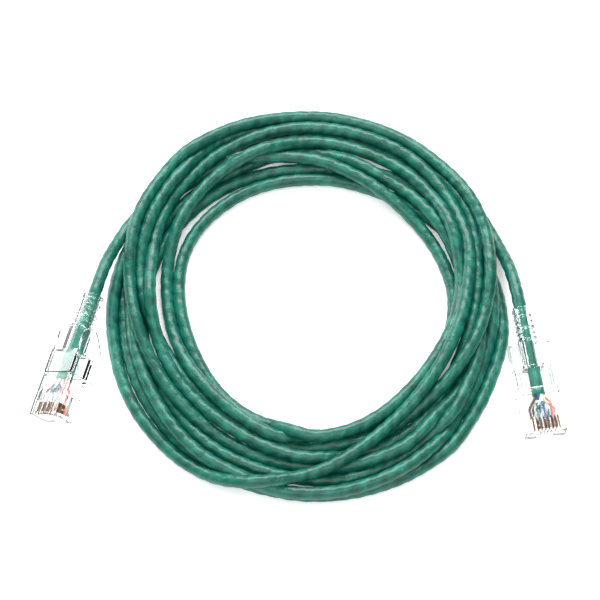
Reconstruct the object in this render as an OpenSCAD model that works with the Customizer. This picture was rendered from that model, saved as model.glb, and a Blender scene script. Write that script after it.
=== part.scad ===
// Ethernet patch cable, coiled, with a modular plug and a ribbed boot at each end.
// Each plug is drawn nose to -Y with its contacts up, and is then laid in place.

/* [Cable] */
// Outer diameter of the jacket
jacket_d = 3.6; // [3:0.1:4]
// Outer diameter of one insulated wire
wire_d = 0.76; // [0.6:0.02:0.76]
// Distance of the jacket's cut end from the nose
jacket_end_y = 11.2; // [10.6:0.1:12]

/* [Plug housing] */
// Width across the flat sides
body_w = 11.68; // [11.5:0.01:11.8]
// Height, without the latch
body_h = 6.6; // [6.4:0.1:6.8]
// Full length
body_len = 18.8; // [18.6:0.1:19]
// Length of the full-size front part, up to the boot
front_len = 12.6; // [12.4:0.1:12.7]
// Depth of the step that the boot slides over
step = 0.75; // [0.6:0.05:0.8]

/* [Contacts] */
// Number of contacts
pins = 8; // [8]
// Distance between neighbouring contacts
pitch = 1.016; // [1.016]
// Thickness of a contact blade
blade_t = 0.35; // [0.3:0.01:0.38]
// Width of the slot over each contact
slot_w = 0.5; // [0.48:0.01:0.56]
// Length of the slots, from the nose
slot_len = 4.1; // [4:0.1:4.4]

/* [Load bar] */
// Width of the bar that lines up the wires
bar_w = 8.7; // [8.6:0.1:8.8]
// Length of the bar
bar_len = 5.6; // [5.4:0.1:6]
// Height of the upper and lower wire rows from the middle
row_z = 0.5; // [0.46:0.02:0.54]
// Radius of each wire channel
channel_r = 0.44; // [0.42:0.01:0.46]

/* [Latch] */
// Distance from the nose to the flexing root
latch_root_y = 1.7; // [1.5:0.1:2]
// Distance from the nose to the lever's tip
latch_tip_y = 15.2; // [14.8:0.1:15.6]
// Width of the lever
lever_w = 3.25; // [3.1:0.05:3.3]
// Width across the locking shoulders
hook_w = 6.1; // [6:0.05:6.2]
// Distance from the nose to the locking shoulders
hook_y = 8.4; // [8.3:0.05:8.5]
// Slope of the lever away from the housing
latch_slope = 12; // [11:0.5:12.5]

/* [Boot] */
// Length of the smooth neck behind the collar
neck_len = 7.1; // [6.8:0.1:7.4]
// Distance across the neck's flats
neck_w = 5.8; // [5.6:0.1:6]
// Number of flexing ribs
ribs = 5; // [3:2:7]
// Length of the ribbed part
rib_len = 10.6; // [10:0.1:11]
// Width at the boot's mouth
mouth_w = 4.7; // [4.6:0.1:4.9]
// Length of the two latch guards behind the collar
guard_len = 6.6; // [6.2:0.1:6.8]
// How far the guards reach below the middle
guard_drop = 7.6; // [7.6:0.1:7.8]

/* [Coil] */
// Inner radius of the coil
coil_in = 38; // [36:0.5:40]
// Outer radius of the coil
coil_out = 57.5; // [56:0.5:57.5]
// Height of the coil
coil_h = 8; // [7:0.5:8]
// Radius of the coil's rounded corners
coil_round = 2.5; // [2:0.1:3]

/* [Layout] */
// Sideways place of the first plug's nose
plug_a_x = -67.5; // [-68:0.1:-67]
// Turn of the first plug
yaw_a = -16.5; // [-18:0.5:-15]
// Roll of the first plug onto its side
roll_a = -40; // [-42:1:-38]
// Rise of the first plug towards its boot
pitch_a = 5; // [4:0.5:6]
// Sideways place of the second plug's nose
plug_b_x = 67.9; // [67.5:0.1:68.5]
// Turn of the second plug
yaw_b = 8.5; // [7:0.5:10]
// Rise of the second plug towards its boot
pitch_b = 3; // [2:0.5:4]

/* [Hidden] */

jacket_colour = [0.06, 0.42, 0.30];
clear_colour = [0.86, 0.90, 0.92, 0.35];
gold_colour = [0.85, 0.62, 0.25];
// Insulation colours, from pin 1 to pin 8
wire_colours = [
    "peachpuff", "orangered", "honeydew", "royalblue", "lightblue", "seagreen", "bisque", "saddlebrown"
];

// Round parts are true circles; tubes of wire and jacket are swept with eight sides
$fn = 48;
tube_sides = 8;
gap = 0.05;       // running clearance between fitted pieces
over = 1;         // extra depth that a cut runs past a face

jacket_r = jacket_d / 2;
wire_r = wire_d / 2;
half_w = body_w / 2;
half_h = body_h / 2;

// Housing
rear_half_w = half_w - step;
rear_half_h = half_h - step;
wall = 0.6;
nose_wall = 1.1;
bar_half_h = row_z + 0.8;
cavity_half_w = bar_w / 2 + gap;
cavity_half_h = bar_half_h + gap;
entry_half_w = rear_half_w - wall;
entry_half_h = rear_half_h - wall;
entry_y = jacket_end_y - 3.5;
slot_floor_z = 1.9;
nose_round = 0.5;

// Strain bar that is pressed onto the jacket from the contact side
strain_y = 13.8;
strain_len = 1.3;
strain_w = 4.9;

// Contacts
blade_front_y = 0.5;
blade_len = 3.4;
blade_top_z = half_h - 0.45;
blade_round = 0.5;
tine_len = 1.1;
tine_bite = 0.08;

// Latch
hinge_z = -half_h - 0.8;
barrel_r = 0.55;
root_w = 4.6;
lever_t = 1.0;
hook_t = 1.5;
hook_len = 2.2;
saddle_depth = 1.5;

// Boot
collar_half_w = half_w - 0.05;
collar_half_h = half_h + 0.15;
shoulder_t = 0.8;
collar_front_y = front_len + gap;
collar_rear_y = body_len + shoulder_t;
neck_rear_y = collar_rear_y + neck_len;
mouth_y = neck_rear_y + rib_len;
rib_w = 5.4;
sleeve_w = 4.3;
boot_bore_r = jacket_r + gap;
guard_t = 1;
guard_top_z = 3;
guard_tip_z = -1;

// Places of the plugs' noses; heights set each plug down on its latch guards
nose_a = [plug_a_x, -15.7, 8.45];
nose_b = [plug_b_x, -19.7, 7];
coil_centre = [3, 23];

function turn_x(a, p) = [p[0], p[1] * cos(a) - p[2] * sin(a), p[1] * sin(a) + p[2] * cos(a)];
function turn_y(a, p) = [p[0] * cos(a) + p[2] * sin(a), p[1], p[2] * cos(a) - p[0] * sin(a)];
function turn_z(a, p) = [p[0] * cos(a) - p[1] * sin(a), p[0] * sin(a) + p[1] * cos(a), p[2]];
function on_plug_a(p) = nose_a + turn_z(yaw_a, turn_x(pitch_a, turn_y(roll_a, p)));
function on_plug_b(p) = nose_b + turn_z(yaw_b, turn_x(pitch_b, p));

// Free stretch of each lead, from just behind its boot to the coil, chosen by hand
route_a = [[-54.8, 29, 10.6], [-53, 35, 9], [-51, 40.5, 7], [-48.5, 45.5, 5]];
route_b = [[61.3, 24.5, 8.6], [60.4, 30, 7.5], [59, 35.5, 6.2], [57, 40.5, 5]];
// Straight stretch inside each plug and boot, by distance from the nose
inside_y = [jacket_end_y, 17, 23, 29, 35, 40];

// Unit vector, and the two directions across a path that runs level or nearly so
function unit(v) = v / norm(v);
function heading(path, i) =
    unit(path[min(i + 1, len(path) - 1)] - path[max(i - 1, 0)]);
function side_of(t) = unit(cross(t, [0, 0, 1]));
function ring(centre, t, r) = [
    for (k = [0 : tube_sides - 1])
        let (a = 360 * (k + 0.5) / tube_sides, s = side_of(t), u = cross(s, t))
            centre + r * (cos(a) * s + sin(a) * u)
];

// Tube of radius r along a list of points
module tube(path, r) {
    n = tube_sides;
    last = (len(path) - 1) * n;
    skin = [for (i = [0 : len(path) - 1]) each ring(path[i], heading(path, i), r)];
    sides = [
        for (i = [0 : len(path) - 2], k = [0 : n - 1])
            let (a = i * n + k, b = i * n + (k + 1) % n)
                [a, b, b + n, a + n]
    ];
    front = [[for (k = [n - 1 : -1 : 0]) k]];
    back = [[for (k = [0 : n - 1]) last + k]];
    polyhedron(skin, concat(sides, front, back), convexity = 6);
}

// Box between two corners
module block(low, high) translate(low) cube(high - low);

// Lays a plug piece in place
module place_a() translate(nose_a) rotate([0, 0, yaw_a]) rotate([pitch_a, 0, 0]) rotate([0, roll_a, 0])
    children();
module place_b() translate(nose_b) rotate([0, 0, yaw_b]) rotate([pitch_b, 0, 0]) children();

// Sideways place of a pin; pin 1 is on the +X side
function pin_x(pin) = ((pins + 1) / 2 - pin) * pitch;
// Even pins sit in the upper row, odd pins in the lower
function pin_z(pin) = pin % 2 == 0 ? row_z : -row_z;

// Clear housing: stepped outside, one cavity, eight contact slots, a strain bar and a latch saddle
module housing() color(clear_colour) difference() {
    union() {
        rounded_nose();
        block([-rear_half_w, front_len - over, -rear_half_h], [rear_half_w, body_len, rear_half_h]);
        latch_saddle();
    }
    difference() {
        cavity();
        strain_bar();
    }
    for (pin = [1 : pins]) contact_slot(pin);
    latch_socket();
}

module rounded_nose() intersection() {
    block([-half_w, 0, -half_h], [half_w, front_len, half_h]);
    rotate([90, 0, 90]) translate([0, 0, -half_w - over]) linear_extrude(body_w + 2 * over) union() {
        translate([nose_round, half_h - nose_round]) circle(nose_round);
        translate([nose_round, nose_round - half_h]) circle(nose_round);
        translate([nose_round, -half_h]) square([front_len, body_h]);
        translate([0, nose_round - half_h]) square([front_len, body_h - 2 * nose_round]);
    }
}

module cavity() {
    block([-cavity_half_w, nose_wall, -cavity_half_h], [cavity_half_w, entry_y + over, cavity_half_h]);
    block([-entry_half_w, entry_y, -entry_half_h], [entry_half_w, body_len + over, entry_half_h]);
}

module strain_bar()
    block([-strain_w / 2, strain_y, jacket_r + gap], [strain_w / 2, strain_y + strain_len, half_h]);

module contact_slot(pin) translate([pin_x(pin) - slot_w / 2, 0, 0]) {
    block([0, -over, slot_floor_z], [slot_w, slot_len, half_h + over]);
    block([0, nose_wall, 0], [slot_w, slot_len, half_h]);
}

// Boss under the nose that carries the latch
module latch_saddle()
    block([-root_w / 2, 0.5, hinge_z], [root_w / 2, latch_root_y + saddle_depth, -half_h + 0.1]);
module latch_socket() translate([0, latch_root_y, hinge_z]) rotate([0, 90, 0])
    cylinder(r = barrel_r + gap, h = root_w + 2 * over, center = true);

// Springy lever: a round root, a wide arm with two locking shoulders, and a narrow press tab
module latch() color(clear_colour) translate([0, latch_root_y, hinge_z]) {
    arm_len = hook_y - latch_root_y;
    rotate([0, 90, 0]) cylinder(r = barrel_r, h = root_w, center = true);
    rotate([-latch_slope, 0, 0]) {
        lever_plate(root_w - 0.3, 0, arm_len - 0.3, 0.1, lever_t);
        lever_plate(hook_w, arm_len - hook_len, arm_len, 0, hook_t);
        lever_plate(lever_w, arm_len - 0.6, latch_tip_y - latch_root_y, 0.15, lever_t - 0.1);
    }
}

// Plate across the lever, from y0 to y1 along it and from top to bottom below its upper face
module lever_plate(width, y0, y1, top, bottom)
    block([-width / 2, y0, -bottom], [width / 2, y1, -top]);

// Eight gold blades, each with two tines that bite into its wire
module contacts() color(gold_colour) for (pin = [1 : pins]) translate([pin_x(pin), 0, 0]) blade(pin_z(pin));

module blade(wire_z) rotate([90, 0, 90]) translate([0, 0, -blade_t / 2]) linear_extrude(blade_t) {
    tine_z = wire_z + wire_r - tine_bite;
    rear_y = blade_front_y + blade_len;
    translate([blade_front_y + blade_round, blade_top_z - blade_round]) circle(blade_round);
    translate([blade_front_y + blade_round, slot_floor_z + gap])
        square([blade_len - blade_round, blade_top_z - slot_floor_z - gap]);
    translate([blade_front_y, slot_floor_z + gap])
        square([blade_round * 2, blade_top_z - slot_floor_z - gap - blade_round]);
    for (y = [nose_wall + gap, rear_y - tine_len])
        translate([y, tine_z]) square([tine_len, blade_top_z - blade_round - tine_z]);
}

// Bar with a channel for each wire, in two staggered rows
module load_bar() color(clear_colour) difference() {
    block([-bar_w / 2, nose_wall + gap, -bar_half_h], [bar_w / 2, nose_wall + bar_len, bar_half_h]);
    for (pin = [1 : pins]) translate([pin_x(pin), 0, pin_z(pin)]) {
        rotate([-90, 0, 0]) cylinder(r = channel_r, h = body_len);
        block([-slot_w / 2, 0, 0], [slot_w / 2, slot_len, body_h]);
    }
}

// Place of a wire where it leaves the jacket: eight wires on a ring, nearest pins together
start_ring_r = 1.02;
function start_angle(pin) =
    let (pair = floor((pins - pin) / 2), upper = pin % 2 == 0)
        upper ? 157.5 - 45 * pair : 202.5 + 45 * pair;
function ease(t) = t * t * (3 - 2 * t);
fan_steps = 8;
fan_end_y = nose_wall + bar_len;
function wire_path(pin) = concat(
    [
        for (i = [0 : fan_steps])
            let (
                t = i / fan_steps,
                s = ease(t),
                a = start_angle(pin),
                from = start_ring_r * [cos(a), sin(a)],
                to = [pin_x(pin), pin_z(pin)]
            )
            [from[0] + s * (to[0] - from[0]), jacket_end_y + t * (fan_end_y - jacket_end_y),
             from[1] + s * (to[1] - from[1])]
    ],
    [[pin_x(pin), nose_wall + 2 * gap, pin_z(pin)]]
);

module wire(pin) color(wire_colours[pin - 1]) tube(wire_path(pin), wire_r);

// Clear boot: collar over the housing's rear, square neck, flexing ribs and two latch guards
module boot() color(clear_colour) difference() {
    union() {
        block([-collar_half_w, collar_front_y, -collar_half_h], [collar_half_w, collar_rear_y, collar_half_h]);
        translate([0, body_len, 0]) rotate([-90, 0, 0])
            linear_extrude(neck_rear_y - body_len) cut_corners(neck_w, neck_w, 0.9);
        boot_ribs();
        for (side = [-1, 1]) latch_guard(side);
    }
    block([-rear_half_w - gap, 0, -rear_half_h - gap], [rear_half_w + gap, body_len + gap, rear_half_h + gap]);
    rotate([-90, 0, 0]) cylinder(r = boot_bore_r, h = mouth_y + over);
}

// Square sleeve that ends in the mouth. Every second rib is left off above and below, so that the boot bends.
module boot_ribs() translate([0, neck_rear_y, 0]) rotate([-90, 0, 0]) {
    rib_step = rib_len / (ribs + 1);
    linear_extrude(rib_len) cut_corners(sleeve_w, sleeve_w, 0.6);
    for (i = [0 : ribs - 1]) {
        w = rib_w - (rib_w - mouth_w) * i / ribs;
        translate([0, 0, (i + 0.15) * rib_step]) linear_extrude(rib_step * 0.5)
            cut_corners(w, i % 2 == 0 ? w : sleeve_w, 0.6);
    }
    translate([0, 0, rib_len - rib_step * 0.8]) linear_extrude(rib_step * 0.8) cut_corners(mouth_w, mouth_w, 0.6);
}

// Rectangle with its corners cut off at 45 degrees
module cut_corners(w, h, c) polygon([
    [w / 2 - c, h / 2], [w / 2, h / 2 - c], [w / 2, c - h / 2], [w / 2 - c, -h / 2],
    [c - w / 2, -h / 2], [-w / 2, c - h / 2], [-w / 2, h / 2 - c], [c - w / 2, h / 2]
]);

// Side fin that flanks the latch and runs on behind the collar, so that the latch doesn't snag
module latch_guard(side) translate([side * (collar_half_w - guard_t / 2), 0, 0])
    rotate([90, 0, 90]) translate([0, 0, -guard_t / 2]) linear_extrude(guard_t)
        polygon([
            [collar_front_y, guard_top_z], [collar_front_y, -guard_drop], [collar_front_y + 5, -guard_drop],
            [collar_rear_y + guard_len - 1, guard_tip_z - 1], [collar_rear_y + guard_len, guard_tip_z],
            [collar_rear_y + guard_len, guard_top_z - 1], [collar_rear_y + guard_len - 1, guard_top_z]
        ]);

// Outer shape of the coiled cable, lying flat
module coil() color(jacket_colour) translate([coil_centre[0], coil_centre[1], 0]) rotate_extrude() {
    width = coil_out - coil_in;
    translate([coil_in + coil_round, 0]) square([width - 2 * coil_round, coil_h]);
    translate([coil_in, coil_round]) square([width, coil_h - 2 * coil_round]);
    for (x = [coil_in + coil_round, coil_out - coil_round], z = [coil_round, coil_h - coil_round])
        translate([x, z]) circle(coil_round);
}

// Cable from its cut end inside each plug, out through the boot and down into the coil
module lead_a() color(jacket_colour)
    tube(concat([for (y = inside_y) on_plug_a([0, y, 0])], route_a), jacket_r);
module lead_b() color(jacket_colour)
    tube(concat([for (y = inside_y) on_plug_b([0, y, 0])], route_b), jacket_r);

coil();
lead_a();
lead_b();

place_a() housing();  // housing_a
place_a() latch();  // latch_a
place_a() contacts();  // contacts_a
place_a() load_bar();  // load_bar_a
place_a() boot();  // boot_a
place_a() wire(1);  // wire_1_white_orange_a
place_a() wire(2);  // wire_2_orange_a
place_a() wire(3);  // wire_3_white_green_a
place_a() wire(4);  // wire_4_blue_a
place_a() wire(5);  // wire_5_white_blue_a
place_a() wire(6);  // wire_6_green_a
place_a() wire(7);  // wire_7_white_brown_a
place_a() wire(8);  // wire_8_brown_a

place_b() housing();  // housing_b
place_b() latch();  // latch_b
place_b() contacts();  // contacts_b
place_b() load_bar();  // load_bar_b
place_b() boot();  // boot_b
place_b() wire(1);  // wire_1_white_orange_b
place_b() wire(2);  // wire_2_orange_b
place_b() wire(3);  // wire_3_white_green_b
place_b() wire(4);  // wire_4_blue_b
place_b() wire(5);  // wire_5_white_blue_b
place_b() wire(6);  // wire_6_green_b
place_b() wire(7);  // wire_7_white_brown_b
place_b() wire(8);  // wire_8_brown_b
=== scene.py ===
"""Looks of the ethernet patch cable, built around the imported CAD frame."""

import math

import bmesh
import bpy
import numpy as np
from mathutils import Matrix, Vector


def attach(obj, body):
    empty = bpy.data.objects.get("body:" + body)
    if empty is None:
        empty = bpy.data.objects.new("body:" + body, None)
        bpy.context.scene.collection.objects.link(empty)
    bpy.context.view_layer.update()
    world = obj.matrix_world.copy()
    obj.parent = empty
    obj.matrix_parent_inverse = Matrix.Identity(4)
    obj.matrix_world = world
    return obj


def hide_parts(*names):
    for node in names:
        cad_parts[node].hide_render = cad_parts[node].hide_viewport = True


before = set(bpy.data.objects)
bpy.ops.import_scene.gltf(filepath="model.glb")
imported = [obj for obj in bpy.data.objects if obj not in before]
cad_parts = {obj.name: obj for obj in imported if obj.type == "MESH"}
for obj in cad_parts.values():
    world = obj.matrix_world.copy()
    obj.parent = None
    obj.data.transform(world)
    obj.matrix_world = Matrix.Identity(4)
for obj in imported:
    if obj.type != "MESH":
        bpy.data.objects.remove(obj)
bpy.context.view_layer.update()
scene = bpy.context.scene
MM = 0.001

# ---------------------------------------------------------------- camera
CAMERA_PLACE = (0.00062, -0.2044, 0.4898)
CAMERA_ELEVATION = 65.0
CAMERA_LENS = 113.4
camera_data = bpy.data.cameras.new("camera")
camera_data.sensor_width = 36.0
camera_data.lens = CAMERA_LENS
camera_data.clip_start = 0.01
camera = bpy.data.objects.new("camera", camera_data)
camera.location = CAMERA_PLACE
camera.rotation_euler = (math.radians(90 - CAMERA_ELEVATION), 0, 0)
scene.collection.objects.link(camera)
scene.camera = camera

# ---------------------------------------------------------------- places of the plugs, as in the CAD source
NOSE_A, YAW_A, PITCH_A, ROLL_A = (-67.5, -15.7, 8.45), -16.5, 5.0, -40.0
NOSE_B, YAW_B, PITCH_B, ROLL_B = (67.9, -19.7, 7.0), 8.5, 3.0, 0.0


def placing(nose, yaw, pitch, roll):
    """Matrix from a plug's own millimetres to the row frame in metres."""
    turn = (
        Matrix.Rotation(math.radians(yaw), 4, "Z")
        @ Matrix.Rotation(math.radians(pitch), 4, "X")
        @ Matrix.Rotation(math.radians(roll), 4, "Y")
    )
    return Matrix.Scale(MM, 4) @ Matrix.Translation(Vector(nose)) @ turn


PLUGS = {"a": placing(NOSE_A, YAW_A, PITCH_A, ROLL_A), "b": placing(NOSE_B, YAW_B, PITCH_B, ROLL_B)}

# ---------------------------------------------------------------- cord, from plug b round the coil to plug a
JACKET_D = 3.6
JACKET_END_Y, EXIT_Y = 11.2, 18.8
# Places on each plug's axis that the cord passes, and its free points from there to the coil
INSIDE_Y = (JACKET_END_Y, 17, 23, 29, 35, 40)
ROUTE_A = [(-54.8, 29, 10.6), (-53, 35, 9), (-51, 40.5, 7), (-48.5, 45.5, 5)]
ROUTE_B = [(61.3, 24.5, 8.6), (60.4, 30, 7.5), (59, 35.5, 6.2), (57, 40.5, 5)]
COIL_MIDDLE = (4.05, 21.1)
# A strand that lies above the mean height is set this much nearer per millimetre
VIEW_SLANT, MEAN_HEIGHT = 0.466, 4.0

# Radius of each turn, in millimetres, every 30 degrees from -180 to 150; the first turn starts at 30
TURN_STEP = 30
FIRST_TURN = [56.5, 59.5, 61, 59.5, 57]
TURNS = [
    [53.5, 55, 57, 58, 58, 55.5, 53.5, 50, 47.5, 43.2, 45.5, 47.5],
    [49, 49.5, 52, 53, 53, 50, 48.5, 45, 41, 41, 41, 41],
    [38.5, 37.5, 39.5, 41.5, 39, 38.5, 42, 47, 51, 53, 50.5, 46],
    [41, 39.5, 40, 43, 41, 40, 41, 40, 41.5, 47, 52, 55],
    [56.5, 59, 59, 51, 42.5, 40, 43, 50.5, 56, 58, 56.5, 51.5],
    [46, 44.5, 44, 47.5, 48, 46, 46.5, 53.5, 57, 58.5, 58.5, 54],
    [48, 43, 42.5, 43, 44, 44.5, 49.5, 56, 59.5, 61, 61.5, 57.5],
    [51, 48, 48.5, 50, 50.5, 48, 45.5, 45.5, 45.5, 49.5, 48.5, 49],
    [51.5, 52.5, 55.5, 57, 55.5, 52.5, 51.5, 52, 53, 55, 57],
]
# Layer of each turn at the same places: 0 lies on the table, higher numbers lie over lower ones
LAYER_RISE = 3.3
FIRST_LAYERS = [0.5, 0, 0, 0, 0]
LAYERS = [
    [0, 0, 0, 0, 0, 0, 0, 0, 0, 0.9, 0, 0],
    [0, 0, 0, 0, 0, 0.9, 0, 0, 0, 0, 0, 0],
    [0, 0, 0, 0, 0, 0.6, 0.9, 1.3, 0.8, 0.9, 0.9, 0.9],
    [0.5, 0.9, 0.9, 0.3, 0, 0, 0, 0, 0.9, 0.9, 0, 0],
    [0.3, 0, 1, 1.6, 1.5, 1.5, 1.8, 1.3, 1.2, 1.1, 1.3, 1.1],
    [1.2, 0.9, 0.9, 0.2, 0, 0, 0.9, 0.9, 0, 0, 0.8, 0.9],
    [0.4, 0, 0, 1, 0.1, 0.9, 1.6, 1.8, 1.1, 1, 1, 1.6],
    [1.7, 1.1, 0, 0, 0.6, 0, 0, 0.5, 0.9, 0, 0.9, 0],
    [0.6, 0.6, 0.7, 0.9, 0.6, 0, 0.8, 0, 0, 0, 0],
]

# Settling: how far the line sinks, is pulled back and is smoothed in each round, and how it is pushed apart
SINK, PULL, SMOOTHING = 0.03, 0.06, 0.5
PUSH_SHARES, LARGEST_PUSH, PUSHES = (0.2, 0.2, 0.45), 0.4, 3
SETTLE_ROUNDS, QUICK_ROUNDS, ROUNDS_PER_SEARCH = 420, 60, 8
# Two points are compared if they are nearer than so many diameters and more than so many points apart
SEARCH_REACH, SEARCH_APART, SEARCH_BLOCK = 1.7, 6, 256
LAST_SMOOTHING = 6
# Lengths in millimetres: the ends that are held still, and the steps of the settling and the finished line
HELD_END, SOLVER_STEP, RING_STEP = 40, 1.8, 0.8
# A smooth curve is worked out in this many points per step and then evened out
FINE = 4


def mixed(low, high, t, one, two):
    """Straight mix of two values as t goes from low to high."""
    return (high - t) / (high - low) * one + (t - low) / (high - low) * two


def spline(points, step):
    """Points about one step apart on a smooth curve through the given ones."""
    p = np.array(points, float)
    p = np.vstack([2 * p[0] - p[1], p, 2 * p[-1] - p[-2]])
    out = []
    for i in range(1, len(p) - 2):
        knots = [0.0]
        for k in range(3):
            knots.append(knots[-1] + np.linalg.norm(p[i + k] - p[i + k - 1]) ** 0.5)
        n = max(2, int(round(np.linalg.norm(p[i + 1] - p[i]) / step * FINE)))
        t = np.linspace(knots[1], knots[2], n, endpoint=False)[:, None]
        a = [mixed(knots[k], knots[k + 1], t, p[i + k - 1], p[i + k]) for k in range(3)]
        b = [mixed(knots[k], knots[k + 2], t, a[k], a[k + 1]) for k in range(2)]
        out.append(mixed(knots[1], knots[2], t, b[0], b[1]))
    out.append(p[-2][None, :])
    return evenly(np.vstack(out), step)


def evenly(p, step):
    """The same line with its points evenly spaced."""
    along = np.concatenate([[0], np.cumsum(np.linalg.norm(np.diff(p, axis=0), axis=1))])
    n = max(2, int(round(along[-1] / step)) + 1)
    s = np.linspace(0, along[-1], n)
    return np.column_stack([np.interp(s, along, p[:, k]) for k in range(3)])


def coil_points():
    """Rough points of all turns, from their radii and layers."""
    radii = FIRST_TURN + [r for turn in TURNS for r in turn]
    layers = FIRST_LAYERS + [v for turn in LAYERS for v in turn]
    points = []
    for i, (r, layer) in enumerate(zip(radii, layers)):
        a = math.radians(TURN_STEP * (i + 1))
        z = JACKET_D / 2 + LAYER_RISE * layer
        points.append((
            COIL_MIDDLE[0] + r * math.cos(a),
            COIL_MIDDLE[1] + r * math.sin(a) - VIEW_SLANT * (z - MEAN_HEIGHT),
            z,
        ))
    return points


def on_plug(key, x, y, z):
    """Point of a plug in the row frame, in millimetres."""
    return tuple(PLUGS[key] @ Vector((x, y, z)) / MM)


def near_pairs(p, reach, apart):
    """Pairs of points closer than reach that aren't neighbours on the line."""
    first, second = [], []
    for start in range(0, len(p), SEARCH_BLOCK):
        some = p[start:start + SEARCH_BLOCK]
        gap = np.linalg.norm(some[:, None, :] - p[None, :, :], axis=2)
        i, j = np.nonzero(gap < reach)
        i = i + start
        keep = j - i > apart
        first.append(i[keep])
        second.append(j[keep])
    return np.concatenate(first), np.concatenate(second)


def smooth(values, times):
    """The same points, each moved towards its neighbours, with the two ends kept."""
    for _ in range(times):
        inner = 0.25 * values[:-2] + 0.5 * values[1:-1] + 0.25 * values[2:]
        values = np.vstack([values[:1], inner, values[-1:]])
    return values


def settle(p, held, rounds):
    """Lets the line sink onto the table and onto itself, with its turns kept a diameter apart."""
    flat = p[:, :2].copy()
    flat[:, 1] += VIEW_SLANT * (p[:, 2] - MEAN_HEIGHT)
    free = (~held).astype(float)
    d = JACKET_D
    for k in range(rounds):
        if k % ROUNDS_PER_SEARCH == 0:
            i, j = near_pairs(p, d * SEARCH_REACH, SEARCH_APART)
        p[:, 2] -= SINK * free
        p[:, 0] += PULL * free * (flat[:, 0] - p[:, 0])
        p[:, 1] += PULL * free * (flat[:, 1] - VIEW_SLANT * (p[:, 2] - MEAN_HEIGHT) - p[:, 1])
        p += SMOOTHING * free[:, None] * (smooth(p, 2) - p)
        for _ in range(PUSHES):
            v = p[i] - p[j]
            gap = np.linalg.norm(v, axis=1)
            v = v * (np.maximum(0, d - gap) / np.maximum(gap, 1e-6))[:, None]
            for axis, share in enumerate(PUSH_SHARES):
                move = np.bincount(i, v[:, axis], len(p)) - np.bincount(j, v[:, axis], len(p))
                p[:, axis] += np.clip(share * move, -LARGEST_PUSH, LARGEST_PUSH) * free
            p[:, 2] = np.maximum(p[:, 2], d / 2)
    return p


def cord_line():
    """Centreline of the whole cable, with its two ends held in the plugs."""
    start = [on_plug("b", 0, y, 0) for y in INSIDE_Y] + ROUTE_B
    end = ROUTE_A[::-1] + [on_plug("a", 0, y, 0) for y in INSIDE_Y[::-1]]
    p = spline(start + coil_points() + end, SOLVER_STEP)
    along = np.concatenate([[0], np.cumsum(np.linalg.norm(np.diff(p, axis=0), axis=1))])
    held = (along < HELD_END) | (along > along[-1] - HELD_END)
    p = settle(p, held, SETTLE_ROUNDS)
    p = np.vstack([p[:1], smooth(p, LAST_SMOOTHING)[1:-1], p[-1:]])
    p[:, 2] = np.maximum(p[:, 2], JACKET_D / 2)
    return evenly(p, RING_STEP)


line = cord_line()
LINE_LENGTH = float(np.sum(np.linalg.norm(np.diff(line, axis=0), axis=1)))


# ---------------------------------------------------------------- mesh helpers
def mesh_object(name, vertices, faces):
    """Smooth-shaded object from lists of points and faces."""
    mesh = bpy.data.meshes.new(name)
    mesh.from_pydata([tuple(v) for v in vertices], [], faces)
    mesh.validate()
    obj = bpy.data.objects.new(name, mesh)
    scene.collection.objects.link(obj)
    mesh.polygons.foreach_set("use_smooth", [True] * len(mesh.polygons))
    return obj


def frames_along(p):
    """Two directions across the line at each point, carried along it without twist."""
    t = np.gradient(p, axis=0)
    t /= np.linalg.norm(t, axis=1)[:, None]
    side = np.cross(t[0], (0, 0, 1.0))
    side /= np.linalg.norm(side)
    sides = [side]
    for k in range(1, len(p)):
        side = side - t[k] * np.dot(side, t[k])
        side = side / np.linalg.norm(side)
        sides.append(side)
    sides = np.array(sides)
    return sides, np.cross(sides, t)


def tube(p, radius_at, sides):
    """Closed tube along p, with the length along it, the angle and the radius at each point.

    radius_at(angles, along) gives the radius, in the points' unit.
    """
    u, w = frames_along(p)
    along = np.concatenate([[0], np.cumsum(np.linalg.norm(np.diff(p, axis=0), axis=1))])
    angle = np.linspace(0, 2 * math.pi, sides, endpoint=False)
    r = radius_at(angle[None, :], along[:, None]) * np.ones((len(p), sides))
    ring = u[:, None, :] * np.cos(angle)[None, :, None] + w[:, None, :] * np.sin(angle)[None, :, None]
    v = (p[:, None, :] + ring * r[:, :, None]).reshape(-1, 3)
    k = np.arange(sides)
    faces = []
    for i in range(len(p) - 1):
        a, b = i * sides + k, i * sides + (k + 1) % sides
        faces += np.column_stack([a, a + sides, b + sides, b]).tolist()
    n = len(v)
    v = np.vstack([v, p[:1], p[-1:]])
    last = (len(p) - 1) * sides
    faces += [(n, int(a), int((a + 1) % sides)) for a in k]
    faces += [(n + 1, int(last + (a + 1) % sides), int(last + a)) for a in k]
    return v, faces, np.repeat(along, sides), np.tile(angle, len(p)), r.reshape(-1)


def set_attribute(obj, name, values):
    """Stores one number per point, for a material to read."""
    attribute = obj.data.attributes.new(name, "FLOAT", "POINT")
    attribute.data.foreach_set("value", np.asarray(values, np.float32))


# ---------------------------------------------------------------- materials
def material(name):
    """New material with a Principled shader, and its nodes, links, shader and output."""
    m = bpy.data.materials.new(name)
    m.use_nodes = True
    nodes, links = m.node_tree.nodes, m.node_tree.links
    nodes.clear()
    out = nodes.new("ShaderNodeOutputMaterial")
    shader = nodes.new("ShaderNodeBsdfPrincipled")
    links.new(shader.outputs["BSDF"], out.inputs["Surface"])
    return m, nodes, links, shader, out


def noise(nodes, links, scale, detail=2.0):
    n = nodes.new("ShaderNodeTexNoise")
    n.inputs["Scale"].default_value = scale
    n.inputs["Detail"].default_value = detail
    where = nodes.new("ShaderNodeTexCoord")
    links.new(where.outputs["Object"], n.inputs["Vector"])
    return n.outputs["Fac"]


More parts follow.
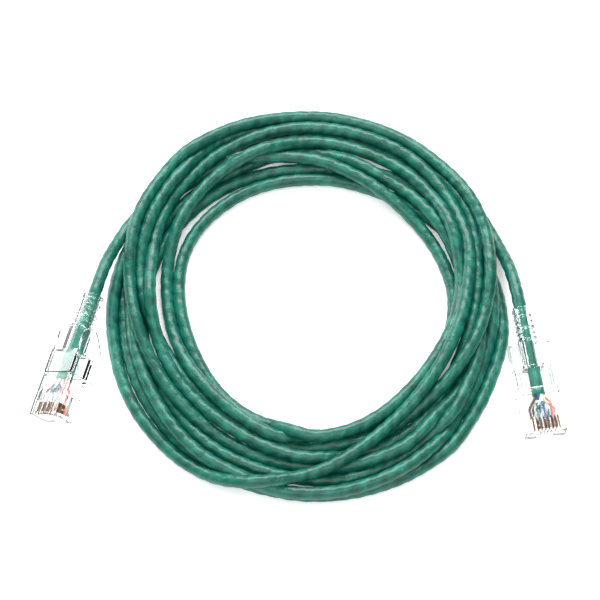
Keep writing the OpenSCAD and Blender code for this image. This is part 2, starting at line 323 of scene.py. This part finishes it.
def ramp(nodes, links, factor, stops):
    r = nodes.new("ShaderNodeValToRGB")
    links.new(factor, r.inputs["Fac"])
    while len(r.color_ramp.elements) < len(stops):
        r.color_ramp.elements.new(0.5)
    for element, (at, colour) in zip(r.color_ramp.elements, stops):
        element.position = at
        element.color = (*colour, 1.0)
    return r.outputs["Color"]


def bump(nodes, links, shader, height, strength, distance):
    b = nodes.new("ShaderNodeBump")
    b.inputs["Strength"].default_value = strength
    b.inputs["Distance"].default_value = distance
    links.new(height, b.inputs["Height"])
    links.new(b.outputs["Normal"], shader.inputs["Normal"])


def spread(nodes, links, factor, low, high):
    """The factor, stretched to run from low to high."""
    m = nodes.new("ShaderNodeMapRange")
    m.inputs["To Min"].default_value = low
    m.inputs["To Max"].default_value = high
    links.new(factor, m.inputs["Value"])
    return m.outputs["Result"]


def jacket_material():
    """Slightly glossy green vinyl with random tone, a little lighter where the jacket stands proud as a
    painted highlight and darker in its hollows as painted shade.
    """
    m, nodes, links, shader, _ = material("jacket_green_pvc")
    painted_crest_shade = nodes.new("ShaderNodeAttribute")
    painted_crest_shade.attribute_name = "painted_crest_shade"
    # Painted highlight and shade: a fifth of the colour follows the jacket's relief, lighter on the crests
    # and darker in the hollows; the rest is random tone
    both = nodes.new("ShaderNodeMix")
    both.inputs["Factor"].default_value = 0.2
    links.new(noise(nodes, links, 240.0, 3.0), both.inputs["A"])
    links.new(painted_crest_shade.outputs["Fac"], both.inputs["B"])
    colour = ramp(nodes, links, both.outputs["Result"], [
        (0.34, (0.001, 0.068, 0.047)),
        (0.5, (0.0025, 0.100, 0.069)),
        (0.66, (0.008, 0.148, 0.102)),
    ])
    links.new(colour, shader.inputs["Base Color"])
    links.new(spread(nodes, links, noise(nodes, links, 500.0), 0.34, 0.48), shader.inputs["Roughness"])
    shader.inputs["Specular IOR Level"].default_value = 0.36
    shader.inputs["IOR"].default_value = 1.5
    shader.inputs["Coat Weight"].default_value = 0.12
    shader.inputs["Coat Roughness"].default_value = 0.12
    bump(nodes, links, shader, noise(nodes, links, 420.0, 3.0), 0.75, 0.0006)
    return m


JACKET = jacket_material()

# ---------------------------------------------------------------- jacket
# Length at each end that lies in the boot, and the largest radius there
IN_BOOT, BORE_R = 26.5, 1.76
MEAN_R, LUMP_SHARE, MEAN_REACH = 1.79, 0.5, 0.86
# Length of one twist of each pair and of the bundle, and how far pairs and wires lie from their centres
PAIR_LAYS = (7.2, 8.4, 9.4, 7.8)
BUNDLE_LAY = 58.0
PAIR_OFFSET, WIRE_OFFSET = 0.62, 0.40
# Each pair starts this share of a twist after the one before, and its twist wanders along the cord
PHASE_STEP, WANDER, WANDER_LENGTH, WANDER_MORE = 0.37, 0.8, 17.0, 5
SHARPNESS = 7.0
# The jacket narrows into the boot over a short length, and flares where it is cut
NARROWING = 2.0
CUT_FLARE, FLARE_LENGTH = 0.12, 0.7
JACKET_SIDES = 20


def jacket_radius(angle, along):
    """Outline of a thin jacket drawn over four twisted pairs."""
    best = 0
    for k, lay in enumerate(PAIR_LAYS):
        where = 2 * math.pi * (k / 4 + along / BUNDLE_LAY)
        wander = WANDER * np.sin(along / (WANDER_LENGTH + WANDER_MORE * k))
        twist = 2 * math.pi * (along / lay + PHASE_STEP * k) + wander
        for side in (0, math.pi):
            x = PAIR_OFFSET * np.cos(where) + WIRE_OFFSET * np.cos(twist + side)
            y = PAIR_OFFSET * np.sin(where) + WIRE_OFFSET * np.sin(twist + side)
            best = best + np.exp(SHARPNESS * (x * np.cos(angle) + y * np.sin(angle)))
    reach = np.log(best) / SHARPNESS
    radius = MEAN_R + LUMP_SHARE * (reach - MEAN_REACH)
    end = np.minimum(along, LINE_LENGTH - along)
    inside = np.clip((IN_BOOT - end) / NARROWING, 0, 1)
    return radius - inside * np.maximum(0, radius - BORE_R) + CUT_FLARE * np.exp(-end / FLARE_LENGTH)


def make_cord():
    """The whole jacket, from plug a to plug b."""
    p = line[::-1]
    v, faces, _, _, r = tube(p, jacket_radius, JACKET_SIDES)
    obj = mesh_object("cable_jacket", v * MM, faces)
    low, high = r.min(), r.max()
    # Relief share of each point, read by the jacket material for its painted highlight on crests and painted
    # shade in hollows
    set_attribute(obj, "painted_crest_shade", np.concatenate([(r - low) / (high - low), [0.5, 0.5]]))
    obj.data.materials.append(JACKET)
    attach(obj, "root")
    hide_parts("coil", "lead_a", "lead_b")


make_cord()

# ---------------------------------------------------------------- plug pieces, in millimetres
# Each plug has its nose at y = 0, its contacts up and its cable along +Y
PINS, PITCH, ROW_Z, WIRE_R = 8, 1.016, 0.5, 0.38
NOSE_HALF_W, NOSE_HALF_H, NOSE_REAR = 5.84, 3.3, 12.6
TAIL_HALF_W, TAIL_HALF_H, TAIL_REAR = 5.09, 2.55, EXIT_Y
NOSE_WALL, WIRE_ROOM_HALF_W, WIRE_ROOM_HALF_H, WIRE_ROOM_REAR = 1.1, 4.4, 1.35, 8.7
JACKET_ROOM_FRONT, JACKET_ROOM_HALF_W, JACKET_ROOM_HALF_H = 7.7, 4.49, 1.95
SLOT_HALF_W, SLOT_REAR, SLOT_FLOOR = 0.25, 4.1, 1.9
STRAIN_HALF_W, STRAIN_FRONT, STRAIN_REAR = 2.45, 13.8, 15.1
BLADE_FRONT, BLADE_REAR, BLADE_TOP, BLADE_HALF_W = 0.5, 3.9, 2.85, 0.175
HINGE = (0.0, 1.7, -4.1)
ROOT_R, ROOT_HALF_W, ROOT_BEVEL, SOCKET_R, ROOT_SIDES = 0.55, 2.3, 0.1, 0.6, 24
SADDLE_HALF_W, SADDLE_FRONT, SADDLE_REAR, SADDLE_TOP = 2.3, 0.5, 3.2, -3.1
LATCH_SLOPE = 12.0
# Half widths of the lever's arm, locking shoulders, thumb rest and thumb ridges, and where they start and end
ARM_HALF_W, SHOULDER_HALF_W, THUMB_HALF_W, RIDGE_HALF_W = 2.15, 3.05, 1.62, 1.45
WEDGE_FRONT, LATCH_ARM, LATCH_END = 4.5, 6.7, 13.5
RIDGES_Y, RIDGE_W = (9.6, 10.7, 11.8), 0.45
COLLAR_FRONT, COLLAR_REAR, NECK_REAR, MOUTH = 12.65, 19.6, 26.7, 37.3
COLLAR_HALF_H, CLEARANCE = 3.45, 0.05
GUARD_IN, GUARD_OUT = 4.79, 5.79
NECK_W, SLEEVE_W, MOUTH_W = 5.8, 4.3, 4.7
RIBS, RIB_W, RIB_TAPER, LOW_RIB_H = 5, 5.4, 0.14, 4.28
BOOT_BORE_R, BORE_SIDES = 1.87, 72
WIRES_END_Y, BAR_REAR_Y = 1.2, 6.7
WIRE_NAMES = (
    "1_white_orange", "2_orange", "3_white_green", "4_blue",
    "5_white_blue", "6_green", "7_white_brown", "8_brown",
)


def pin_x(pin):
    """Place of a contact across the plug; contact 1 is at +X."""
    return ((PINS + 1) / 2 - pin) * PITCH


def pin_z(pin):
    """Height of a wire in the load bar's two staggered rows."""
    return ROW_Z if pin % 2 == 0 else -ROW_Z


def from_bmesh(bm):
    """New object from bm, with its faces turned outwards."""
    bmesh.ops.recalc_face_normals(bm, faces=bm.faces[:])
    mesh = bpy.data.meshes.new("part")
    bm.to_mesh(mesh)
    bm.free()
    obj = bpy.data.objects.new("part", mesh)
    scene.collection.objects.link(obj)
    return obj


def block(low, high, bevel, segments=2):
    """Box between two corners, with rounded edges."""
    bm = bmesh.new()
    bmesh.ops.create_cube(bm, size=1)
    for v in bm.verts:
        v.co = [(low[k] + high[k]) / 2 + v.co[k] * (high[k] - low[k]) for k in range(3)]
    bmesh.ops.bevel(bm, geom=bm.edges[:], offset=bevel, segments=segments, affect="EDGES", profile=0.5)
    return from_bmesh(bm)


def centred(half, y0, y1, bevel, segments=2):
    """Box along the plug's axis, from its half width and half height."""
    return block((-half[0], y0, -half[1]), (half[0], y1, half[1]), bevel, segments)


def drawn(one, two, bevel):
    """Closed solid between two matching outlines."""
    bm = bmesh.new()
    left, right = [bm.verts.new(p) for p in one], [bm.verts.new(p) for p in two]
    bm.faces.new(left)
    bm.faces.new(right[::-1])
    n = len(left)
    for i in range(n):
        bm.faces.new((left[i], right[i], right[(i + 1) % n], left[(i + 1) % n]))
    if bevel:
        bmesh.ops.bevel(bm, geom=bm.edges[:], offset=bevel, segments=3, affect="EDGES", profile=0.5)
    return from_bmesh(bm)


def plate(outline, x0, x1, bevel=0.0):
    """Side outline of (y, z) points, drawn out from x0 to x1."""
    return drawn([(x0, y, z) for y, z in outline], [(x1, y, z) for y, z in outline], bevel)


def square_bar(width, height, cut, y0, y1, bevel):
    """Bar along the plug, with a rectangular section and cut corners."""
    w, h = width / 2, height / 2
    right = [(w - cut, h), (w, h - cut), (w, cut - h), (w - cut, -h)]
    outline = right + [(-x, z) for x, z in right[::-1]]
    return drawn([(x, y0, z) for x, z in outline], [(x, y1, z) for x, z in outline], bevel)


def turned(profile, sides):
    """Solid of revolution about the plug's axis, from (y, radius) points."""
    bm = bmesh.new()
    turns = [2 * math.pi * k / sides for k in range(sides)]
    rings = [[bm.verts.new((r * math.cos(a), y, r * math.sin(a))) for a in turns] for y, r in profile]
    for one, two in zip(rings, rings[1:]):
        for k in range(sides):
            bm.faces.new((one[k], one[(k + 1) % sides], two[(k + 1) % sides], two[k]))
    bm.faces.new(rings[0][::-1])
    bm.faces.new(rings[-1])
    return from_bmesh(bm)


def combine(base, others, operation):
    """Joins the other solids to the base, or cuts them out of it, and removes them."""
    for other in others:
        m = base.modifiers.new("combine", "BOOLEAN")
        m.object = other
        m.operation = operation
        m.solver = "EXACT"
    mesh = bpy.data.meshes.new_from_object(base.evaluated_get(bpy.context.evaluated_depsgraph_get()))
    base.modifiers.clear()
    base.data = mesh
    for other in others:
        bpy.data.objects.remove(other)
    return base


def gather(bm, obj):
    """Moves a solid into bm."""
    bm.from_mesh(obj.data)
    bpy.data.objects.remove(obj)


SHARP_DEGREES = 35


def shade_by_angle(obj):
    """Smooth shading with sharp edges kept, and large faces left flat."""
    bm = bmesh.new()
    bm.from_mesh(obj.data)
    for face in bm.faces:
        face.smooth = True
    for edge in bm.edges:
        edge.smooth = len(edge.link_faces) == 2 and edge.calc_face_angle(0) < math.radians(SHARP_DEGREES)
    bm.to_mesh(obj.data)
    bm.free()
    flat = obj.modifiers.new("flat", "WEIGHTED_NORMAL")
    flat.keep_sharp = True
    mesh = bpy.data.meshes.new_from_object(obj.evaluated_get(bpy.context.evaluated_depsgraph_get()))
    obj.modifiers.clear()
    obj.data = mesh


def place(obj, name, key, finish, nodes, body="root"):
    """Names a plug piece, moves its mesh to its plug, gives it its finish, hangs it on its body and hides the
    CAD parts it replaces.
    """
    obj.name = obj.data.name = name
    obj.data.transform(PLUGS[key])
    obj.data.materials.clear()
    obj.data.materials.append(finish)
    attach(obj, body)
    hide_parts(*nodes)


# ---------------------------------------------------------------- plug materials
def clear_material(name, tint, rough, ripple):
    """Clear moulded plastic that lets light through to what lies in its shadow."""
    m, nodes, links, shader, out = material(name)
    pale = tuple(min(1, c + 0.02) for c in tint)
    colour = ramp(nodes, links, noise(nodes, links, 150.0), [(0.3, tint), (0.7, pale)])
    links.new(colour, shader.inputs["Base Color"])
    shader.inputs["Transmission Weight"].default_value = 1.0
    shader.inputs["IOR"].default_value = 1.5
    haze = spread(nodes, links, noise(nodes, links, 700.0), rough, rough + 0.04)
    links.new(haze, shader.inputs["Roughness"])
    bump(nodes, links, shader, noise(nodes, links, 450.0), ripple, 0.0001)
    path = nodes.new("ShaderNodeLightPath")
    through = nodes.new("ShaderNodeBsdfTransparent")
    through.inputs["Color"].default_value = (0.96, 0.97, 0.97, 1)
    mix = nodes.new("ShaderNodeMixShader")
    links.new(path.outputs["Is Shadow Ray"], mix.inputs["Fac"])
    links.new(shader.outputs["BSDF"], mix.inputs[1])
    links.new(through.outputs["BSDF"], mix.inputs[2])
    links.new(mix.outputs["Shader"], out.inputs["Surface"])
    return m


def gold_material():
    """Thin gold on the blades, dulled, darker in random patches, and darkened overall as painted shade of the
    slots they sit in.
    """
    m, nodes, links, shader, _ = material("gold_plating")
    # Painted shade: all three gold tones are kept dark and brown for the shade in the blade slots
    links.new(ramp(nodes, links, noise(nodes, links, 900.0, 4.0), [
        (0.3, (0.16, 0.075, 0.035)), (0.5, (0.24, 0.125, 0.06)), (0.75, (0.36, 0.21, 0.10)),
    ]), shader.inputs["Base Color"])
    shader.inputs["Metallic"].default_value = 1.0
    links.new(spread(nodes, links, noise(nodes, links, 2500.0), 0.28, 0.42), shader.inputs["Roughness"])
    bump(nodes, links, shader, noise(nodes, links, 4000.0), 0.15, 0.00003)
    return m


def copper_material():
    """Bare copper at the wires' cut ends."""
    m, nodes, links, shader, _ = material("copper_strands")
    links.new(ramp(nodes, links, noise(nodes, links, 5000.0, 3.0), [
        (0.3, (0.16, 0.07, 0.04)), (0.7, (0.36, 0.18, 0.11)),
    ]), shader.inputs["Base Color"])
    shader.inputs["Metallic"].default_value = 1.0
    shader.inputs["Roughness"].default_value = 0.35
    bump(nodes, links, shader, noise(nodes, links, 9000.0), 0.4, 0.00004)
    return m


def wire_material(name, base, stripe=None):
    """Insulation with slight mottling, and a stripe along one side on the white wires."""
    m, nodes, links, shader, _ = material(name)
    dark = tuple(0.85 * c for c in base)
    colour = ramp(nodes, links, noise(nodes, links, 1200.0, 3.0), [(0.3, dark), (0.7, base)])
    if stripe:
        side = nodes.new("ShaderNodeAttribute")
        side.attribute_name = "side"
        where = ramp(nodes, links, side.outputs["Fac"], [(0.62, (0, 0, 0)), (0.70, (1, 1, 1))])
        mix = nodes.new("ShaderNodeMix")
        mix.data_type = "RGBA"
        links.new(where, mix.inputs["Factor"])
        links.new(colour, mix.inputs["A"])
        mix.inputs["B"].default_value = tuple(stripe) + (1,)
        colour = mix.outputs["Result"]
    links.new(colour, shader.inputs["Base Color"])
    links.new(spread(nodes, links, noise(nodes, links, 2000.0), 0.30, 0.45), shader.inputs["Roughness"])
    bump(nodes, links, shader, noise(nodes, links, 3500.0), 0.2, 0.00003)
    return m


CLEAR = clear_material("clear_polycarbonate", (0.955, 0.97, 0.968), 0.0, 0.1)
CLEAR_BOOT = clear_material("clear_flexible_boot", (0.95, 0.965, 0.962), 0.01, 0.15)
GOLD = gold_material()
COPPER = copper_material()
ORANGE, GREEN = (0.70, 0.12, 0.09), (0.03, 0.15, 0.11)
BLUE, BROWN = (0.045, 0.095, 0.27), (0.065, 0.036, 0.03)
WIRES = [
    wire_material("wire_white_orange", (0.85, 0.60, 0.48), ORANGE),
    wire_material("wire_orange", ORANGE),
    wire_material("wire_white_green", (0.72, 0.82, 0.76), GREEN),
    wire_material("wire_blue", BLUE),
    wire_material("wire_white_blue", (0.66, 0.76, 0.88), BLUE),
    wire_material("wire_green", GREEN),
    wire_material("wire_white_brown", (0.72, 0.62, 0.54), BROWN),
    wire_material("wire_brown", BROWN),
]


# ---------------------------------------------------------------- plug shapes
def make_housing(key):
    """Nose, narrower tail and latch saddle, hollow inside, with a slot for each blade and a strain bar."""
    body = centred((NOSE_HALF_W, NOSE_HALF_H), 0, NOSE_REAR, 0.32, 3)
    tail = centred((TAIL_HALF_W, TAIL_HALF_H), NOSE_REAR - 1.6, TAIL_REAR, 0.2)
    saddle = block((-SADDLE_HALF_W, SADDLE_FRONT, HINGE[2]), (SADDLE_HALF_W, SADDLE_REAR, SADDLE_TOP), 0.1)
    body = combine(body, [tail, saddle], "UNION")
    socket_end = SADDLE_HALF_W + 0.3
    socket = turned([(-socket_end, SOCKET_R), (socket_end, SOCKET_R)], ROOT_SIDES)
    socket.data.transform(Matrix.Translation(Vector(HINGE)) @ Matrix.Rotation(math.radians(90), 4, "Z"))
    wire_room = centred((WIRE_ROOM_HALF_W, WIRE_ROOM_HALF_H), NOSE_WALL, WIRE_ROOM_REAR, 0.08, 1)
    jacket_room = centred((JACKET_ROOM_HALF_W, JACKET_ROOM_HALF_H), JACKET_ROOM_FRONT, TAIL_REAR + 1, 0.25)
    body = combine(body, [socket, wire_room, jacket_room], "DIFFERENCE")
    above = NOSE_HALF_H + 1
    slot = [
        (-1, SLOT_FLOOR), (NOSE_WALL, SLOT_FLOOR), (NOSE_WALL, 0),
        (SLOT_REAR, 0), (SLOT_REAR, above), (-1, above),
    ]
    places = [pin_x(pin) for pin in range(1, PINS + 1)]
    body = combine(body, [plate(slot, x - SLOT_HALF_W, x + SLOT_HALF_W) for x in places], "DIFFERENCE")
    low, high = JACKET_ROOM_HALF_H - 0.1, TAIL_HALF_H - 0.15
    strain_bar = block((-STRAIN_HALF_W, STRAIN_FRONT, low), (STRAIN_HALF_W, STRAIN_REAR, high), 0.05, 1)
    body = combine(body, [strain_bar], "UNION")
    shade_by_angle(body)
    place(body, f"plug_body_{key}", key, CLEAR, [f"housing_{key}"])


def make_latch(key):
    """Lever with its two locking shoulders, thumb rest and round root, modelled level and then tilted."""
    lever = block((-ARM_HALF_W, 0, -1.0), (ARM_HALF_W, LATCH_ARM - 0.3, -0.1), 0.15)
    wedge = [
        (WEDGE_FRONT, 0), (LATCH_ARM, 0), (LATCH_ARM, -1.5),
        (LATCH_ARM - 0.5, -1.5), (WEDGE_FRONT, -1.1),
    ]
    shoulders = plate(wedge, -SHOULDER_HALF_W, SHOULDER_HALF_W, 0.12)
    thumb_rest = block((-THUMB_HALF_W, LATCH_ARM - 0.6, -0.9), (THUMB_HALF_W, LATCH_END, -0.15), 0.18)
    ridges = [block((-RIDGE_HALF_W, y, -1.12), (RIDGE_HALF_W, y + RIDGE_W, -0.7), 0.12) for y in RIDGES_Y]
    lever = combine(lever, [shoulders, thumb_rest] + ridges, "UNION")
    lever.data.transform(Matrix.Rotation(math.radians(-LATCH_SLOPE), 4, "X"))
    full, low = ROOT_HALF_W - ROOT_BEVEL, ROOT_R - ROOT_BEVEL
    outline = [(-ROOT_HALF_W, low), (-full, ROOT_R), (full, ROOT_R), (ROOT_HALF_W, low)]
    root = turned(outline, ROOT_SIDES)
    root.data.transform(Matrix.Rotation(math.radians(90), 4, "Z"))
    lever = combine(lever, [root], "UNION")
    lever.data.transform(Matrix.Translation(Vector(HINGE)))
    shade_by_angle(lever)
    place(lever, f"latch_lever_{key}", key, CLEAR, [f"latch_{key}"], f"latch_{key}")


def make_boot(key):
    """Collar, square neck, ribbed sleeve and two latch guards, with room for the housing and the cable."""
    body = centred((GUARD_OUT, COLLAR_HALF_H), COLLAR_FRONT, COLLAR_REAR, 0.4, 3)
    step = (MOUTH - NECK_REAR) / (RIBS + 1)
    parts = [
        square_bar(NECK_W, NECK_W, 0.9, 18.0, NECK_REAR, 0.15),
        square_bar(SLEEVE_W, SLEEVE_W, 0.6, NECK_REAR - 1, MOUTH - 0.3, 0.12),
        square_bar(MOUTH_W, MOUTH_W, 0.6, MOUTH - 0.8 * step, MOUTH, 0.3),
    ]
    for i in range(RIBS):
        width, y = RIB_W - RIB_TAPER * i, NECK_REAR + (i + 0.15) * step
        # Every second rib stands out only at the sides
        height = width if i % 2 == 0 else LOW_RIB_H
        parts.append(square_bar(width, height, 0.6, y, y + 0.5 * step, 0.4))
    guard = [
        (COLLAR_FRONT, 3), (COLLAR_FRONT, -7.6), (17.65, -7.6),
        (25.2, -2), (26.2, -1), (26.2, 2), (25.2, 3),
    ]
    parts += [plate(guard, GUARD_IN, GUARD_OUT, 0.12), plate(guard, -GUARD_OUT, -GUARD_IN, 0.12)]
    body = combine(body, parts, "UNION")
    front = COLLAR_FRONT - 2.65
    room = (TAIL_HALF_W + CLEARANCE, TAIL_HALF_H + CLEARANCE)
    housing_room = centred(room, front, TAIL_REAR + CLEARANCE, 0.1, 1)
    bore = turned([(front, BOOT_BORE_R), (MOUTH - 0.4, BOOT_BORE_R), (MOUTH + 0.5, 2.1)], BORE_SIDES)
    body = combine(body, [housing_room, bore], "DIFFERENCE")
    shade_by_angle(body)
    place(body, f"boot_sleeve_{key}", key, CLEAR_BOOT, [f"boot_{key}"])


def make_contacts(key):
    """One rounded blade in each slot, with two tines."""
    blades = []
    for pin in range(1, PINS + 1):
        x, tip = pin_x(pin), pin_z(pin) + WIRE_R - 0.08
        outline = [
            (BLADE_FRONT, 1.95), (BLADE_FRONT, 2.35), (0.58, 2.6), (0.74, 2.77), (1.0, BLADE_TOP),
            (BLADE_REAR, BLADE_TOP), (BLADE_REAR, tip), (3.6, tip - 0.12), (3.2, tip), (2.8, tip + 0.1),
            (2.8, 1.95), (2.25, 1.95), (2.25, tip), (1.9, tip - 0.12), (1.15, tip), (1.15, 1.95),
        ]
        blades.append(plate(outline, x - BLADE_HALF_W, x + BLADE_HALF_W, 0.05))
    bm = bmesh.new()
    for blade in blades:
        gather(bm, blade)
    obj = from_bmesh(bm)
    shade_by_angle(obj)
    place(obj, f"contact_blades_{key}", key, GOLD, [f"contacts_{key}"])


# The two contacts of each pair, and where the pair lies round the jacket's end, in degrees
PAIRS = [(1, 2, 0), (4, 5, 90), (7, 8, 180), (3, 6, 270)]
FAN_STEPS = 24
WIRE_STEP, WIRE_SIDES, STRIPE_TURN = 0.25, 16, 0.9
STRAND_R, STRAND_FRONT, STRAND_REAR = 0.28, 1.12, 1.4


def wire_points():
    """Path of each wire: twisted at the jacket's end, fanned out, and straight through the load bar."""
    paths = {}
    start_y = JACKET_END_Y + 0.4
    for first, second, where in PAIRS:
        a = math.radians(where)
        start = np.array([math.cos(a), math.sin(a)])
        ends = [np.array([pin_x(pin), pin_z(pin)]) for pin in (first, second)]
        end = (ends[0] + ends[1]) / 2
        last = ends[0] - end
        turn0 = a + math.pi / 2
        turn1 = math.atan2(last[1], last[0])
        while turn1 < turn0 + 0.5:
            turn1 += 2 * math.pi
        for pin, sign in ((first, 1), (second, -1)):
            points = []
            for k in range(FAN_STEPS + 1):
                t = k / FAN_STEPS
                s = t * t * (3 - 2 * t)
                reach = WIRE_R + s * (np.linalg.norm(last) - WIRE_R)
                turn = turn0 + s * (turn1 - turn0)
                centre = start + s * (end - start)
                x, z = centre + sign * reach * np.array([math.cos(turn), math.sin(turn)])
                points.append((x, start_y - t * (start_y - BAR_REAR_Y), z))
            for y in (5.5, 4.0, 2.5, WIRES_END_Y):
                points.append((pin_x(pin), y, pin_z(pin)))
            paths[pin] = points
    return paths


def make_wires(key):
    """Eight insulated wires, and the copper that shows at their cut ends."""
    cores = bmesh.new()
    for pin, points in sorted(wire_points().items()):
        p = spline(points, WIRE_STEP)
        v, faces, along, angle, _ = tube(p, lambda a, s: np.full((1, 1), WIRE_R), WIRE_SIDES)
        name = WIRE_NAMES[pin - 1]
        obj = mesh_object("wire", v, faces)
        twist = np.cos(angle + along * STRIPE_TURN)
        set_attribute(obj, "side", np.concatenate([0.5 + 0.5 * twist, [0, 0]]))
        slot, node = "wire_" + name[2:], f"wire_{name}_{key}"
        place(obj, f"insulated_wire_{name}_{key}", key, WIRES[pin - 1], [node])
        tip = [(STRAND_FRONT, STRAND_R - 0.04), (STRAND_FRONT + 0.03, STRAND_R), (STRAND_REAR, STRAND_R)]
        strand = turned(tip, WIRE_SIDES)
        strand.data.transform(Matrix.Translation(Vector((pin_x(pin), 0, pin_z(pin)))))
        gather(cores, strand)
    ends = from_bmesh(cores)
    shade_by_angle(ends)
    place(ends, f"copper_ends_{key}", key, COPPER, [])


def finish_load_bar(key):
    """The load bar is the CAD piece itself, in clear plastic."""
    bar = bpy.data.objects[f"load_bar_{key}"]
    bar.data.materials.clear()
    bar.data.materials.append(CLEAR)


for key in PLUGS:
    make_housing(key)
    make_latch(key)
    make_boot(key)
    make_contacts(key)
    make_wires(key)
    finish_load_bar(key)

# ---------------------------------------------------------------- floor and light
FLOOR_SIZE, FLOOR_DROP = 3.0, 0.0001
LIGHT_TARGET = (0, 0.02, 0)


def stage():
    """Plain white floor, just under the object."""
    bpy.ops.mesh.primitive_plane_add(size=FLOOR_SIZE, location=(0, 0, -FLOOR_DROP))
    floor = bpy.context.object
    floor.name = "floor"
    m, nodes, links, shader, _ = material("floor_pale")
    white = [(0.3, (0.93, 0.93, 0.93)), (0.7, (0.95, 0.95, 0.95))]
    links.new(ramp(nodes, links, noise(nodes, links, 3.0), white), shader.inputs["Base Color"])
    shader.inputs["Roughness"].default_value = 0.8
    shader.inputs["Emission Color"].default_value = (1, 1, 1, 1)
    shader.inputs["Emission Strength"].default_value = 0.3
    floor.data.materials.append(m)


def area_light(name, location, size, power):
    """Rectangular lamp that faces the object; size in metres, power in watts."""
    data = bpy.data.lights.new(name, "AREA")
    data.shape = "RECTANGLE"
    data.size, data.size_y = size
    data.energy = power
    obj = bpy.data.objects.new(name, data)
    obj.location = location
    obj.rotation_euler = (Vector(LIGHT_TARGET) - Vector(location)).to_track_quat("-Z", "Y").to_euler()
    scene.collection.objects.link(obj)


def white_world(strength):
    world = bpy.data.worlds.new("world")
    world.use_nodes = True
    background = world.node_tree.nodes["Background"]
    background.inputs["Color"].default_value = (1, 1, 1, 1)
    background.inputs["Strength"].default_value = strength
    scene.world = world


stage()
area_light("back", (-0.05, 0.62, 0.62), (0.9, 0.45), 15.0)
area_light("front", (0, -0.8, 0.25), (1.6, 0.5), 3.0)
area_light("top", (0, -0.35, 0.95), (1.1, 0.8), 8.0)
area_light("left", (-0.75, 0.3, 0.15), (0.5, 0.2), 3.0)
white_world(0.12)
scene.view_settings.view_transform = "Standard"
scene.view_settings.look = "None"
